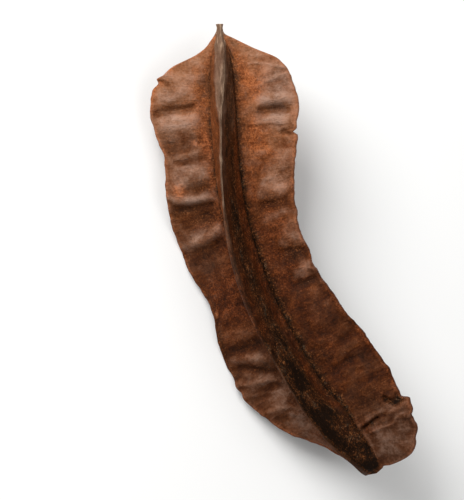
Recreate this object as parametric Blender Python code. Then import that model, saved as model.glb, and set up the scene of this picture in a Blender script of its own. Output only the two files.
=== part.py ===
"""A dried aridan pod: one long, gently bent fruit with four wings along its core.

Two broad leathery wings spread to the right and left, and two narrower woody keels stand above and below.
All of it grew as one piece, from the stub of the stalk to the blunt tip, so it is one closed mesh.

Units are metres. The pod is shaped in a frame of its own, where +X runs from stalk to tip, +Y points to the
right wing and +Z to the upper keel. It is then rolled and pitched to lie on three low spots: two of the
lower keel and one of the left wing. Places along the core are shares of its length, 0 at the stalk's cut
end and 1 at the tip. Places across a wing are shares of the way from the valley at its root to its edge.
"""

import math
import random

import bmesh
import bpy
import numpy as np

NAME = "pod"

# The core's line: straight out of the stalk, then bending towards the right wing, and twisting as it goes.
CORE_LENGTH = 0.1833
START_HEADING = math.radians(-15.5)
BEND = math.radians(28.0)
BEND_SPAN = (0.15, 0.75)
START_TWIST = math.radians(2.0)
TWIST = math.radians(14.0)
TWIST_SPAN = (0.10, 0.65)

# The pod's lie on the floor, and how far its lowest spots are pressed flat.
REST_ROLL = math.radians(18.32)
REST_PITCH = math.radians(0.975)
PRESSED_DEPTH = 0.0005

# How many points the mesh has along the core, and from a valley out to an edge.
RINGS = 76
WING_STEPS = 8
KEEL_STEPS = 5
END_CROWDING = 0.45

# Half the core's width and height at the valleys between the wings: (place, half width, half height).
VALLEY = (
    (0.000, 0.0009, 0.0009),
    (0.020, 0.0010, 0.0010),
    (0.045, 0.0024, 0.0018),
    (0.080, 0.0042, 0.0030),
    (0.150, 0.0051, 0.0037),
    (0.300, 0.0052, 0.0038),
    (0.500, 0.0050, 0.0038),
    (0.750, 0.0045, 0.0036),
    (0.900, 0.0044, 0.0033),
    (0.970, 0.0032, 0.0030),
    (0.990, 0.0021, 0.0023),
    (1.000, 0.0010, 0.0010),
)

# Each wing: how far its edge reaches from the core's middle, how far it sweeps towards the tip, how far its
# edge leans out of its own plane, and half its thickness at the edge: (place, reach, sweep, lean, half edge).
RIGHT_WING = (
    (0.000, 0.0014, 0.0000, 0.0000, 0.0006),
    (0.018, 0.0016, 0.0000, 0.0000, 0.0006),
    (0.034, 0.0052, -0.0006, 0.0000, 0.0007),
    (0.060, 0.0120, -0.0016, 0.0000, 0.0008),
    (0.090, 0.0210, -0.0026, 0.0004, 0.0009),
    (0.125, 0.0258, -0.0024, 0.0010, 0.0009),
    (0.185, 0.0283, -0.0012, 0.0014, 0.0010),
    (0.240, 0.0266, 0.0000, 0.0008, 0.0010),
    (0.320, 0.0246, 0.0000, 0.0002, 0.0010),
    (0.450, 0.0224, 0.0000, 0.0006, 0.0010),
    (0.560, 0.0230, 0.0000, 0.0008, 0.0010),
    (0.680, 0.0256, 0.0000, 0.0004, 0.0010),
    (0.780, 0.0275, 0.0000, -0.0004, 0.0010),
    (0.850, 0.0276, 0.0006, 0.0000, 0.0010),
    (0.888, 0.0272, 0.0012, 0.0008, 0.0010),
    (0.904, 0.0288, 0.0028, 0.0012, 0.0010),
    (0.940, 0.0260, 0.0058, 0.0012, 0.0010),
    (0.962, 0.0192, 0.0080, 0.0008, 0.0010),
    (0.977, 0.0110, 0.0052, 0.0004, 0.0010),
    (0.989, 0.0062, 0.0014, 0.0000, 0.0009),
    (1.000, 0.0014, 0.0000, 0.0000, 0.0006),
)
LEFT_WING = (
    (0.000, 0.0014, 0.0000, 0.0000, 0.0006),
    (0.022, 0.0016, 0.0000, 0.0000, 0.0006),
    (0.042, 0.0036, 0.0000, 0.0000, 0.0007),
    (0.066, 0.0092, -0.0010, 0.0000, 0.0008),
    (0.095, 0.0180, -0.0022, 0.0004, 0.0009),
    (0.130, 0.0255, -0.0022, 0.0008, 0.0009),
    (0.180, 0.0280, -0.0010, 0.0008, 0.0010),
    (0.270, 0.0240, 0.0000, 0.0000, 0.0010),
    (0.350, 0.0252, 0.0000, 0.0008, 0.0010),
    (0.450, 0.0250, 0.0000, 0.0034, 0.0010),
    (0.550, 0.0218, 0.0000, 0.0026, 0.0010),
    (0.650, 0.0264, 0.0000, 0.0010, 0.0010),
    (0.710, 0.0268, 0.0000, 0.0006, 0.0010),
    (0.790, 0.0232, 0.0004, 0.0004, 0.0010),
    (0.860, 0.0156, 0.0006, 0.0002, 0.0010),
    (0.920, 0.0072, 0.0004, 0.0000, 0.0010),
    (0.960, 0.0038, 0.0000, 0.0000, 0.0009),
    (0.989, 0.0025, 0.0000, 0.0000, 0.0008),
    (1.000, 0.0014, 0.0000, 0.0000, 0.0006),
)
UPPER_KEEL = (
    (0.000, 0.0014, 0.0000, 0.0000, 0.0006),
    (0.022, 0.0017, 0.0000, 0.0000, 0.0010),
    (0.050, 0.0046, 0.0000, 0.0000, 0.0018),
    (0.090, 0.0104, 0.0000, 0.0003, 0.0020),
    (0.130, 0.0150, 0.0000, 0.0006, 0.0012),
    (0.200, 0.0190, 0.0000, 0.0004, 0.0008),
    (0.300, 0.0204, 0.0000, 0.0006, 0.0007),
    (0.450, 0.0200, 0.0000, 0.0016, 0.0006),
    (0.600, 0.0202, 0.0000, 0.0028, 0.0006),
    (0.750, 0.0200, 0.0000, 0.0030, 0.0006),
    (0.850, 0.0188, 0.0000, 0.0028, 0.0007),
    (0.920, 0.0154, 0.0000, 0.0014, 0.0008),
    (0.965, 0.0100, 0.0004, 0.0000, 0.0010),
    (0.989, 0.0054, 0.0002, 0.0000, 0.0010),
    (1.000, 0.0014, 0.0000, 0.0000, 0.0006),
)
LOWER_KEEL = (
    (0.000, 0.0014, 0.0000, 0.0000, 0.0006),
    (0.022, 0.0016, 0.0000, 0.0000, 0.0009),
    (0.050, 0.0042, 0.0000, 0.0000, 0.0015),
    (0.090, 0.0100, 0.0000, -0.0003, 0.0014),
    (0.150, 0.0168, 0.0000, -0.0004, 0.0009),
    (0.220, 0.0202, 0.0000, 0.0000, 0.0007),
    (0.300, 0.0207, 0.0000, 0.0006, 0.0007),
    (0.420, 0.0196, 0.0000, 0.0010, 0.0007),
    (0.540, 0.0194, 0.0000, 0.0004, 0.0007),
    (0.650, 0.0204, 0.0000, -0.0004, 0.0007),
    (0.740, 0.0217, 0.0000, -0.0006, 0.0007),
    (0.810, 0.0212, 0.0000, 0.0000, 0.0007),
    (0.890, 0.0176, 0.0000, 0.0006, 0.0008),
    (0.950, 0.0112, 0.0000, 0.0004, 0.0009),
    (0.989, 0.0050, 0.0000, 0.0000, 0.0009),
    (1.000, 0.0014, 0.0000, 0.0000, 0.0006),
)

# Transverse folds of the dried skin on the two upper faces: (place, slant, half width, height, from, to).
# Height is the rise at the crest, negative for a valley; from and to are shares of the way across the wing.
RIGHT_FOLDS = (
    (0.120, -0.02, 0.0040, 0.0006, 0.10, 0.90),
    (0.150, 0.00, 0.0034, 0.0010, 0.30, 0.95),
    (0.168, 0.00, 0.0018, -0.0013, 0.35, 0.90),
    (0.190, 0.00, 0.0034, 0.0009, 0.20, 0.95),
    (0.213, 0.00, 0.0014, -0.0006, 0.30, 1.00),
    (0.255, 0.01, 0.0050, 0.0005, 0.10, 0.90),
    (0.312, -0.01, 0.0050, 0.0011, 0.40, 1.00),
    (0.346, 0.00, 0.0022, -0.0012, 0.20, 0.90),
    (0.380, 0.00, 0.0050, 0.0005, 0.20, 0.90),
    (0.460, 0.02, 0.0030, 0.0010, 0.45, 1.00),
    (0.496, 0.02, 0.0026, -0.0010, 0.30, 0.95),
    (0.538, 0.00, 0.0026, 0.0009, 0.50, 1.00),
    (0.562, 0.00, 0.0020, -0.0005, 0.40, 1.00),
    (0.612, 0.00, 0.0060, 0.0006, 0.10, 0.90),
    (0.662, 0.01, 0.0036, -0.0006, 0.20, 0.90),
    (0.720, 0.00, 0.0060, 0.0006, 0.20, 0.90),
    (0.775, -0.01, 0.0030, -0.0007, 0.25, 1.00),
    (0.825, 0.00, 0.0046, 0.0005, 0.20, 0.90),
    (0.872, 0.01, 0.0024, -0.0008, 0.30, 1.00),
)
LEFT_FOLDS = (
    (0.118, 0.02, 0.0040, 0.0007, 0.10, 0.90),
    (0.150, 0.00, 0.0034, 0.0008, 0.20, 0.95),
    (0.172, 0.01, 0.0020, -0.0013, 0.25, 0.95),
    (0.200, 0.02, 0.0044, 0.0010, 0.15, 0.95),
    (0.236, 0.02, 0.0030, -0.0012, 0.15, 0.95),
    (0.272, 0.00, 0.0013, -0.0008, 0.15, 0.80),
    (0.304, 0.00, 0.0048, 0.0009, 0.10, 0.95),
    (0.335, 0.00, 0.0024, -0.0012, 0.15, 0.90),
    (0.358, 0.00, 0.0026, 0.0013, 0.10, 0.95),
    (0.385, 0.00, 0.0034, -0.0010, 0.10, 0.95),
    (0.428, 0.03, 0.0024, 0.0013, 0.05, 0.90),
    (0.456, 0.03, 0.0028, -0.0009, 0.05, 0.90),
    (0.545, 0.00, 0.0080, 0.0006, 0.10, 0.95),
    (0.615, 0.00, 0.0054, 0.0006, 0.10, 0.95),
    (0.645, 0.00, 0.0028, -0.0009, 0.20, 0.95),
    (0.668, 0.01, 0.0020, 0.0012, 0.15, 0.85),
    (0.688, 0.01, 0.0018, -0.0008, 0.15, 0.90),
    (0.716, 0.02, 0.0026, 0.0007, 0.20, 0.95),
    (0.744, 0.02, 0.0020, -0.0006, 0.20, 0.95),
    (0.776, 0.03, 0.0026, 0.0006, 0.20, 0.95),
    (0.806, 0.03, 0.0020, -0.0007, 0.20, 0.95),
)

# The two lower faces and the keels' flanks fold by rule: crest and valley in turn, at jittered places.
HIDDEN_FOLD_SPACING = 0.036
HIDDEN_FOLD_SPAN = (0.11, 0.90)
HIDDEN_FOLD_HALF_WIDTH = 0.0028
WING_FOLD_HEIGHT = 0.0010
KEEL_FOLD_HEIGHT = 0.00025

# The cross-section of a wing: how fast it thins from its foot to its edge, and the pulp's swell between.
WING_TAPER = 1.5
KEEL_TAPER = 1.9
PULP_SWELL = 0.0007
LEAST_HALF_THICKNESS = 0.0006
EDGE_ROUNDING = 0.7
RELIEF_SPAN = (0.05, 0.98)
FOOT_SHARE = 0.08

# The edge of a broad wing waves in and out of its plane: (waves along the pod, height, phase in turns).
EDGE_WAVES = ((4.5, 0.0009, 0.10), (8.5, 0.0006, 0.55), (13.0, 0.0003, 0.30))

# A low rim runs along the foot of each keel.
RIM_SHARE = 0.10
RIM_HALF_WIDTH = 0.05
RIM_HEIGHT = 0.0005
RIM_SPAN = (0.38, 0.96)

# The right wing's last lobe stands up over a crack across the wing.
LOBE_SPAN = (0.900, 0.985)
LOBE_STEP = 0.0012
LOBE_BLEND = 0.008

SKIN_COLOUR = (0.16, 0.055, 0.022, 1.0)
SKIN_ROUGHNESS = 0.55


def ease(value):
    """0 below 0, 1 above 1, and a smooth rise in between."""
    value = np.clip(value, 0.0, 1.0)
    return value * value * (3.0 - 2.0 * value)


def between(value, low, high, blend):
    """1 from low to high, fading to 0 over blend inside each end."""
    return ease((value - low) / blend) * ease((high - value) / blend)


def along(stations, place):
    """The stations' columns at each place, read from a smooth curve through them."""
    table = np.array(stations)
    places, values = table[:, 0], table[:, 1:]
    slopes = np.gradient(values, places, axis=0)
    after = np.clip(np.searchsorted(places, place, side="right"), 1, len(places) - 1)
    span = (places[after] - places[after - 1])[:, None]
    share = np.clip((place - places[after - 1])[:, None] / span, 0.0, 1.0)
    rise = ease(share)
    leave = share * (1.0 - share) ** 2 * span * slopes[after - 1]
    arrive = share**2 * (share - 1.0) * span * slopes[after]
    return (values[after - 1] * (1.0 - rise) + values[after] * rise + leave + arrive).T


class Core:
    """The core's middle line at the given places, with its directions to the tip, right wing and upper keel."""

    def __init__(self, place):
        fine = np.linspace(0.0, 1.0, 801)
        bent = ease((fine - BEND_SPAN[0]) / (BEND_SPAN[1] - BEND_SPAN[0]))
        heading = START_HEADING + BEND * bent
        steps = np.stack([np.cos(heading), np.sin(heading), 0.0 * heading], axis=1) * CORE_LENGTH * fine[1]
        line = np.concatenate([np.zeros((1, 3)), np.cumsum((steps[1:] + steps[:-1]) / 2.0, axis=0)])
        self.middle = np.stack([np.interp(place, fine, column) for column in line.T], axis=1)
        self.to_tip = np.stack([np.interp(place, fine, column) for column in steps.T], axis=1)
        self.to_tip /= np.linalg.norm(self.to_tip, axis=1)[:, None]
        up = np.array([0.0, 0.0, 1.0])
        sideways = np.cross(up, self.to_tip)
        turned = ease((place - TWIST_SPAN[0]) / (TWIST_SPAN[1] - TWIST_SPAN[0]))
        twist = (START_TWIST + TWIST * turned)[:, None]
        self.to_right = np.cos(twist) * sideways + np.sin(twist) * up
        self.to_upper = np.cos(twist) * up - np.sin(twist) * sideways


def folds_by_rule(seed, height):
    """Folds for a face that has no table of its own."""
    draw = random.Random(seed)
    folds = []
    place = HIDDEN_FOLD_SPAN[0]
    while place < HIDDEN_FOLD_SPAN[1]:
        slant = draw.uniform(-0.03, 0.03)
        half_width = HIDDEN_FOLD_HALF_WIDTH * draw.uniform(0.7, 1.4)
        crest = height * draw.uniform(0.5, 1.1) * (-1) ** len(folds)
        folds.append((place, slant, half_width, crest, draw.uniform(0.05, 0.35), draw.uniform(0.8, 1.0)))
        place += HIDDEN_FOLD_SPACING * draw.uniform(0.7, 1.3)
    return folds


def fold_relief(folds, place, share):
    """How far the folds raise the skin, a given share of the way across the wing."""
    raised = np.zeros_like(place)
    for middle, slant, half_width, height, start, end in folds:
        offset = (place - middle - slant * (share - 0.5)) * CORE_LENGTH / half_width
        raised += height * np.exp(-(offset**2)) * between(share, start - 0.1, end + 0.1, 0.2)
    return raised


class Wing:
    """One of the four wings, standing out of the core at a number of quarter turns from the right wing.

    Turns go from the right wing to the upper keel, the left wing and the lower keel. A wing's side is 1
    where it faces the next wing of that order, and -1 where it faces the one before.
    """

    def __init__(self, quarter_turns, stations, folds):
        self.angle = quarter_turns * math.pi / 2.0
        self.is_keel = quarter_turns % 2 == 1
        self.has_lobe = quarter_turns == 0
        self.stations = stations
        self.folds = folds

    def half_thickness(self, place, share, side, foot, edge):
        """Half the wing's thickness on one side, from its foot in the valley to its edge."""
        taper = KEEL_TAPER if self.is_keel else WING_TAPER
        relief = fold_relief(self.folds[side], place, share)
        if self.is_keel:
            rim = math.exp(-(((share - RIM_SHARE) / RIM_HALF_WIDTH) ** 2))
            relief += RIM_HEIGHT * rim * between(place, *RIM_SPAN, 0.1)
        else:
            relief += PULP_SWELL * math.sin(math.pi * share)
        relief *= between(place, *RELIEF_SPAN, 0.06) * ease(share / FOOT_SHARE)
        half = edge + (foot - edge) * (1.0 - share) ** taper + relief
        return np.maximum(half, np.minimum(edge, LEAST_HALF_THICKNESS))

    def lift(self, place, share, lean):
        """How far the wing's middle bends out of its plane, towards the next wing."""
        lifted = lean * share**2
        if not self.is_keel:
            for waves, height, phase in EDGE_WAVES:
                turns = waves * place + phase + self.angle
                lifted += height * np.sin(2.0 * math.pi * turns) * share**2 * between(place, 0.05, 0.98, 0.1)
        if self.has_lobe:
            risen = ease((place - LOBE_SPAN[0]) / LOBE_BLEND + 0.5) * ease((LOBE_SPAN[1] - place) / 0.02)
            lifted += LOBE_STEP * risen * ease(share / 0.3)
        return lifted

    def line(self, core, place, share, side):
        """The lengthwise line of the pod a share of the way out on one side, or the edge itself where side is 0."""
        reach, sweep, lean, edge = along(self.stations, place)
        half_width, half_height = along(VALLEY, place)
        foot_out, foot = (half_height, half_width) if self.is_keel else (half_width, half_height)
        out = foot_out + (reach - EDGE_ROUNDING * edge - foot_out) * share
        if side == 0:
            out = reach
        aside = self.lift(place, share, lean) + side * self.half_thickness(place, share, side or 1, foot, edge)
        outwards = math.cos(self.angle) * core.to_right + math.sin(self.angle) * core.to_upper
        sideways = math.cos(self.angle) * core.to_upper - math.sin(self.angle) * core.to_right
        swept = (sweep * share**1.5)[:, None] * core.to_tip
        return core.middle + swept + out[:, None] * outwards + aside[:, None] * sideways

    def lines(self, core, place):
        """All the wing's lines, from the valley before it to just short of the valley after it."""
        steps = KEEL_STEPS if self.is_keel else WING_STEPS
        shares = crowded_ends(steps, 0.35)
        before = [self.line(core, place, share, -1) for share in shares]
        after = [self.line(core, place, share, 1) for share in shares[:0:-1]]
        return [*before, self.line(core, place, 1.0, 0), *after]


def crowded_ends(steps, crowding):
    """Shares from 0 to 1 in a number of steps, closer together towards both ends."""
    even = np.linspace(0.0, 1.0, steps + 1)
    return even - crowding * np.sin(2.0 * math.pi * even) / (2.0 * math.pi)


def pod_points():
    """The pod's points in its own frame: one row for each ring, one column for each lengthwise line."""
    place = crowded_ends(RINGS, END_CROWDING)
    core = Core(place)
    keel_folds = {side: folds_by_rule(10 + side, KEEL_FOLD_HEIGHT) for side in (-1, 1)}
    wings = (
        Wing(0, RIGHT_WING, {1: RIGHT_FOLDS, -1: folds_by_rule(3, WING_FOLD_HEIGHT)}),
        Wing(1, UPPER_KEEL, keel_folds),
        Wing(2, LEFT_WING, {-1: LEFT_FOLDS, 1: folds_by_rule(4, WING_FOLD_HEIGHT)}),
        Wing(3, LOWER_KEEL, keel_folds),
    )
    lines = [line for wing in wings for line in wing.lines(core, place)]
    return np.stack(lines, axis=1)


def laid_down(points):
    """The points rolled and pitched onto their resting spots, which the floor presses flat, and centred."""
    roll_cos, roll_sin = math.cos(REST_ROLL), math.sin(REST_ROLL)
    pitch_cos, pitch_sin = math.cos(REST_PITCH), math.sin(REST_PITCH)
    roll = np.array([[1, 0, 0], [0, roll_cos, -roll_sin], [0, roll_sin, roll_cos]])
    pitch = np.array([[pitch_cos, 0, pitch_sin], [0, 1, 0], [-pitch_sin, 0, pitch_cos]])
    points = points @ (pitch @ roll).T
    low, high = points.min(axis=(0, 1)), points.max(axis=(0, 1))
    points = points - np.array([(low[0] + high[0]) / 2, (low[1] + high[1]) / 2, low[2] + PRESSED_DEPTH])
    points[..., 2] = np.maximum(points[..., 2], 0.0)
    return points


def closed_mesh(name, points):
    """A closed mesh skinned over rings of points, with each end ring filled by a fan about its middle."""
    rings, columns = points.shape[:2]
    shell = bmesh.new()
    verts = [[shell.verts.new(point) for point in ring] for ring in points]
    for ring, following in zip(verts[:-1], verts[1:]):
        for column in range(columns):
            beside = (column + 1) % columns
            shell.faces.new((ring[column], ring[beside], following[beside], following[column]))
    ends = [shell.faces.new(verts[0][::-1]), shell.faces.new(verts[-1])]
    bmesh.ops.poke(shell, faces=ends)
    mesh = bpy.data.meshes.new(name)
    shell.to_mesh(mesh)
    shell.free()
    mesh.shade_smooth()
    return mesh


def skin_material():
    """Dry reddish-brown skin with a dull sheen."""
    material = bpy.data.materials.new("dried_skin")
    material.use_nodes = True
    shader = material.node_tree.nodes["Principled BSDF"]
    shader.inputs["Base Color"].default_value = SKIN_COLOUR
    shader.inputs["Roughness"].default_value = SKIN_ROUGHNESS
    shader.inputs["Metallic"].default_value = 0.0
    return material


def main():
    for old in list(bpy.data.objects):
        bpy.data.objects.remove(old)
    pod = bpy.data.objects.new(NAME, closed_mesh(NAME, laid_down(pod_points())))
    pod.data.materials.append(skin_material())
    bpy.context.scene.collection.objects.link(pod)


main()
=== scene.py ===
"""A dried aridan pod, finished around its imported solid: wrinkled skin, woody keels, worn rims and grooves.

The pod is one piece. Its shape comes from the same driving dimensions as the solid's, a few of them
refined, on a finer mesh, with the small folds, cracks, nicks and grain added. In its own frame +X runs
from stalk to tip, +Y points to the right wing and +Z to the upper keel; it is then laid down as the solid
lies. Places along the core are shares of its length, 0 at the stalk's cut end and 1 at the tip. Places
across a wing are shares of the way from the valley at its root to its edge. A span is (from, to, blend)
in places. Units are metres, except that the lengths in tables of rows are millimetres.
"""

import math
import random

import bpy
import numpy as np
from mathutils import Matrix, Vector


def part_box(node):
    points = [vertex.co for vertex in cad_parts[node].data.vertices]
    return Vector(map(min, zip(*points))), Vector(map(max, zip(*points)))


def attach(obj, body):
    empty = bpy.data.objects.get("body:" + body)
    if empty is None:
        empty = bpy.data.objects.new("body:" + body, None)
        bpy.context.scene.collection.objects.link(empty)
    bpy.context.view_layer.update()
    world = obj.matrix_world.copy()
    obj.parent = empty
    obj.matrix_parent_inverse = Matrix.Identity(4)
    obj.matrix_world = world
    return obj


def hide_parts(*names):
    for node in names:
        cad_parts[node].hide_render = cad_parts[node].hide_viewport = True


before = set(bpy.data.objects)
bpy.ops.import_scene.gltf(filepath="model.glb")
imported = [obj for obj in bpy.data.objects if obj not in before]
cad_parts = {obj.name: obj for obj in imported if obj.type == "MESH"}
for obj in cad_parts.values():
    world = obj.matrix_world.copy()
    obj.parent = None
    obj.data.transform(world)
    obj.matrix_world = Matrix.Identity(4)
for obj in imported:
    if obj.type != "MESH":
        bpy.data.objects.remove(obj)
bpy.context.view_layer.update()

MM = 0.001

# The four wings by their quarter turns round the core.
RIGHT, UPPER, LEFT, LOWER = range(4)

# The core's line: straight out of the stalk, then bending towards the right wing, and twisting as it
# goes, worked out at this many places.
CORE_LENGTH = 0.1833
CORE_SAMPLES = 801
START_HEADING = math.radians(-15.5)
BEND = math.radians(28.0)
BEND_SPAN = (0.15, 0.75)
START_TWIST = math.radians(2.0)
TWIST = math.radians(14.0)
TWIST_SPAN = (0.1, 0.65)

# The pod's lie on the floor, and how far its lowest spots are pressed flat.
REST_ROLL = math.radians(18.32)
REST_PITCH = math.radians(0.975)
PRESSED_DEPTH = 0.0005

# How many points the mesh has along the core, from a valley out to an edge, and round an edge.
RINGS = 316
WING_STEPS = 44
KEEL_STEPS = 27
RIM_STEPS = 5
END_CROWDING = 0.35
EDGE_CROWDING = 0.35

# Half the core's width and height at the valleys between the wings: (place, half width, half height).
VALLEY = (
    (0, 0.9, 0.9), (0.02, 1, 1), (0.045, 2.4, 1.8), (0.08, 4.2, 3), (0.15, 5.1, 3.7), (0.3, 5.2, 3.8),
    (0.5, 5, 3.8), (0.75, 4.5, 3.6), (0.9, 4.2, 3.3), (0.945, 3.2, 2.8), (0.97, 2.1, 2.2),
    (0.99, 1.3, 1.5), (1, 0.8, 0.9),
)

# Each wing: how far its edge reaches from the core's middle, sweeps towards the tip and leans out of its
# own plane, and half its thickness at the edge: (place, reach, sweep, lean, half edge).
STATIONS = {
    RIGHT: (
        (0, 1.5, 0, 0, 0.7), (0.009, 1.2, 0, 0, 0.6), (0.02, 1.8, 0, 0, 0.6), (0.034, 5.2, -0.6, 0, 0.7),
        (0.06, 12, -1.6, 0, 0.8), (0.09, 21, -2.6, 0.4, 0.9), (0.125, 25.8, -2.4, 1, 0.9),
        (0.185, 28.3, -1.2, 1.4, 1), (0.24, 26.6, 0, 0.8, 1), (0.32, 24.9, 0, 0.2, 1),
        (0.45, 22.4, 0, 0.6, 1), (0.56, 23, 0, 0.8, 1), (0.68, 25.6, 0, 0.4, 1), (0.78, 27.5, 0, -0.4, 1),
        (0.85, 27.6, 0.6, 0, 1), (0.888, 27.6, 1.2, 0.8, 1), (0.904, 28.4, 3, 1.2, 1),
        (0.94, 26, 5.8, 1.2, 1), (0.962, 19.2, 8, 0.8, 1), (0.977, 11.2, 5, 0.4, 1),
        (0.989, 7.6, 1.8, 0, 0.9), (0.996, 6, 1.2, 0, 0.8), (1, 3.8, 0.9, 0, 0.6),
    ),
    UPPER: (
        (0, 1.4, 0, 0, 0.8), (0.009, 1.3, 0, 0, 0.7), (0.022, 1.7, 0, 0, 1), (0.05, 4.6, 0, 0, 1.8),
        (0.09, 10.4, 0, 0.3, 2), (0.13, 15, 0, 0.6, 1.8), (0.17, 17.6, 0, 0.6, 1.3),
        (0.21, 19.3, 0, 0.4, 0.9), (0.3, 20.4, 0, 0.6, 0.7), (0.38, 20.2, 0, 1.1, 0.8),
        (0.45, 20, 0, 1.6, 1.4), (0.56, 20.1, 0, 2.5, 1.4), (0.64, 20.2, 0, 2.9, 0.7),
        (0.75, 20, 0, 3, 0.6), (0.85, 18.8, 0, 2.8, 0.7), (0.92, 15.2, 0, 1.2, 0.8),
        (0.965, 9.2, 0.4, -0.4, 0.9), (0.989, 4.4, 0.2, -0.2, 0.8), (1, 1.4, -0.3, 0, 0.6),
    ),
    LEFT: (
        (0, 1.4, 0, 0, 0.7), (0.009, 1.1, 0, 0, 0.6), (0.022, 2.1, 0, 0, 0.6), (0.036, 4, 0, 0, 0.7),
        (0.05, 5.8, -0.4, 0, 0.7), (0.066, 9.2, -1, 0, 0.8), (0.095, 18, -2.2, 0.4, 0.9),
        (0.13, 25.5, -2.2, 0.8, 0.9), (0.18, 28, -1, 0.8, 1), (0.27, 24, 0, 0, 1), (0.35, 25.2, 0, 0.8, 1),
        (0.45, 25, 0, 3.4, 1), (0.55, 21.8, 0, 2.6, 1), (0.65, 26.4, 0, 1, 1), (0.71, 26.8, 0, 0.6, 1),
        (0.79, 23.2, 0.4, 0.4, 1), (0.86, 15.6, 0.6, 0.2, 1), (0.92, 7.2, 0.4, 0, 1),
        (0.96, 3.2, 0, 0, 0.8), (0.989, 1.4, 0, 0, 0.7), (1, 0.8, 0, 0, 0.5),
    ),
    LOWER: (
        (0, 1.4, 0, 0, 0.6), (0.022, 1.6, 0, 0, 0.9), (0.05, 4.2, 0, 0, 1.5), (0.09, 10, 0, -0.3, 1.4),
        (0.15, 16.8, 0, -0.4, 0.9), (0.22, 20.2, 0, 0, 0.7), (0.3, 20.7, 0, 0.6, 0.7),
        (0.42, 19.6, 0, 1, 0.7), (0.54, 19.4, 0, 0.4, 0.7), (0.65, 20.4, 0, -0.4, 0.7),
        (0.74, 21.7, 0, -0.6, 0.7), (0.81, 21.2, 0, 0, 0.7), (0.89, 17.6, 0, 0.6, 0.8),
        (0.95, 11.2, 0, 0.4, 0.9), (0.989, 5, 0, 0, 0.9), (1, 1.4, 0, 0, 0.6),
    ),
}

# How much farther out the valley above the right wing lies near the tip: (place, distance).
TIP_SWELL = (
    (0.8, 0), (0.855, 2.6), (0.908, 3.1), (0.947, 4.6), (0.975, 5.2), (0.989, 5.2), (0.996, 4.3), (1, 2.4),
)
# How far the tip is cut back on its left: (place, distance).
TIP_SLANT = ((0.97, 0.0), (0.985, 0.8), (1.0, 2.4))
# The mesh closes at the tip in a low dome, which stands out by this share of the way from a ring before.
TIP_DOME = 0.95
TIP_DOME_RING = -4

# Transverse folds of the dried skin on the two upper faces: (place, slant, half width, height, from, to).
# Height is the rise at the crest, negative for a valley; from and to are shares across the wing, beyond
# which a fold fades out over this share.
FOLD_BLEND = 0.1
RIGHT_FOLDS = (
    (0.12, -0.02, 4, 0.5, 0.1, 0.9), (0.163, 0, 4, 1, 0.3, 0.95), (0.188, 0, 1.9, -1.3, 0.35, 0.9),
    (0.208, 0, 3.4, 0.8, 0.2, 0.95), (0.223, 0.01, 1.4, -0.5, 0.3, 1), (0.294, -0.1, 3.4, -0.6, 0.25, 0.9),
    (0.328, -0.1, 3.6, 0.7, 0.3, 0.95), (0.366, 0, 4, 0.8, 0.25, 0.95), (0.389, 0, 3, -1.2, 0.25, 0.85),
    (0.415, 0, 5, 0.5, 0.2, 0.9), (0.48, 0.01, 4, 1, 0.5, 1), (0.512, 0.01, 3.4, -1, 0.35, 1),
    (0.558, 0, 3.4, 0.9, 0.55, 1), (0.584, 0, 2.4, -0.5, 0.45, 1), (0.63, 0, 6, 0.3, 0.1, 0.9),
    (0.672, 0.01, 3.6, -0.2, 0.2, 0.9), (0.72, 0, 6, 0.3, 0.2, 0.9), (0.775, -0.01, 3.6, -0.3, 0.25, 1),
    (0.825, 0, 5, 0.3, 0.2, 0.9), (0.872, 0.01, 3, -0.4, 0.3, 1),
)
LEFT_FOLDS = (
    (0.118, 0.02, 4, 0.7, 0.1, 0.9), (0.15, 0, 3.4, 0.8, 0.2, 0.95), (0.172, 0.022, 2, -1.3, 0.25, 0.95),
    (0.2, 0.02, 4.4, 1, 0.15, 0.95), (0.236, 0.02, 3, -1.2, 0.15, 0.95), (0.272, 0, 1.3, -0.8, 0.15, 0.8),
    (0.304, 0, 4.8, 0.9, 0.1, 0.95), (0.331, -0.006, 2.4, -0.8, 0.1, 0.7), (0.35, 0, 2.4, 0.7, 0.1, 0.85),
    (0.378, -0.01, 3.4, -1, 0.1, 0.95), (0.428, 0.03, 2.4, 1.3, 0.05, 0.9),
    (0.456, 0.03, 2.8, -0.9, 0.05, 0.9), (0.545, 0, 8, 0.6, 0.1, 0.95), (0.615, 0, 5.4, 0.6, 0.1, 0.95),
    (0.645, -0.012, 2.6, -0.7, 0.2, 0.95), (0.671, -0.045, 1.7, 1.1, 0.15, 0.9),
    (0.696, -0.07, 1.6, -0.8, 0.15, 0.8), (0.716, 0.02, 2.6, 0.4, 0.2, 0.95),
    (0.744, 0.02, 2, -0.3, 0.2, 0.95), (0.776, 0.03, 2.6, 0.3, 0.2, 0.95),
    (0.806, 0.03, 2, -0.3, 0.2, 0.95),
)

# The two lower faces and the keels' flanks fold by rule, crest and valley in turn, at jittered places.
# Their half widths and heights are in millimetres, as in the tables.
HIDDEN_FOLD_SPACING = 0.036
HIDDEN_FOLD_SPAN = (0.11, 0.9)
HIDDEN_FOLD_HALF_WIDTH = 2.8
WING_FOLD_HEIGHT = 0.8
KEEL_FOLD_HEIGHT = 0.25
HIDDEN_CREASES = 22

# The cross-section of a wing: how fast it thins from its foot to its edge, and the pulp's swell between.
WING_TAPER = 1.5
KEEL_TAPER = 1.9
PULP_SWELL = 0.0007
LEAST_HALF_THICKNESS = 0.0006
DETAIL_HALF_THICKNESS = 0.0003
EDGE_ROUNDING = 0.7
SWEEP_POWER = 1.5
RELIEF_SPAN = (0.05, 0.98, 0.06)
FOOT_SHARE = 0.08

# The edge of a broad wing waves in and out of its plane: (waves along the pod, height, phase in turns).
EDGE_WAVES = ((4.5, 0.9, 0.1), (8.5, 0.6, 0.55), (13.0, 0.3, 0.3))
WAVES_SPAN = (0.05, 0.98, 0.1)

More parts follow.
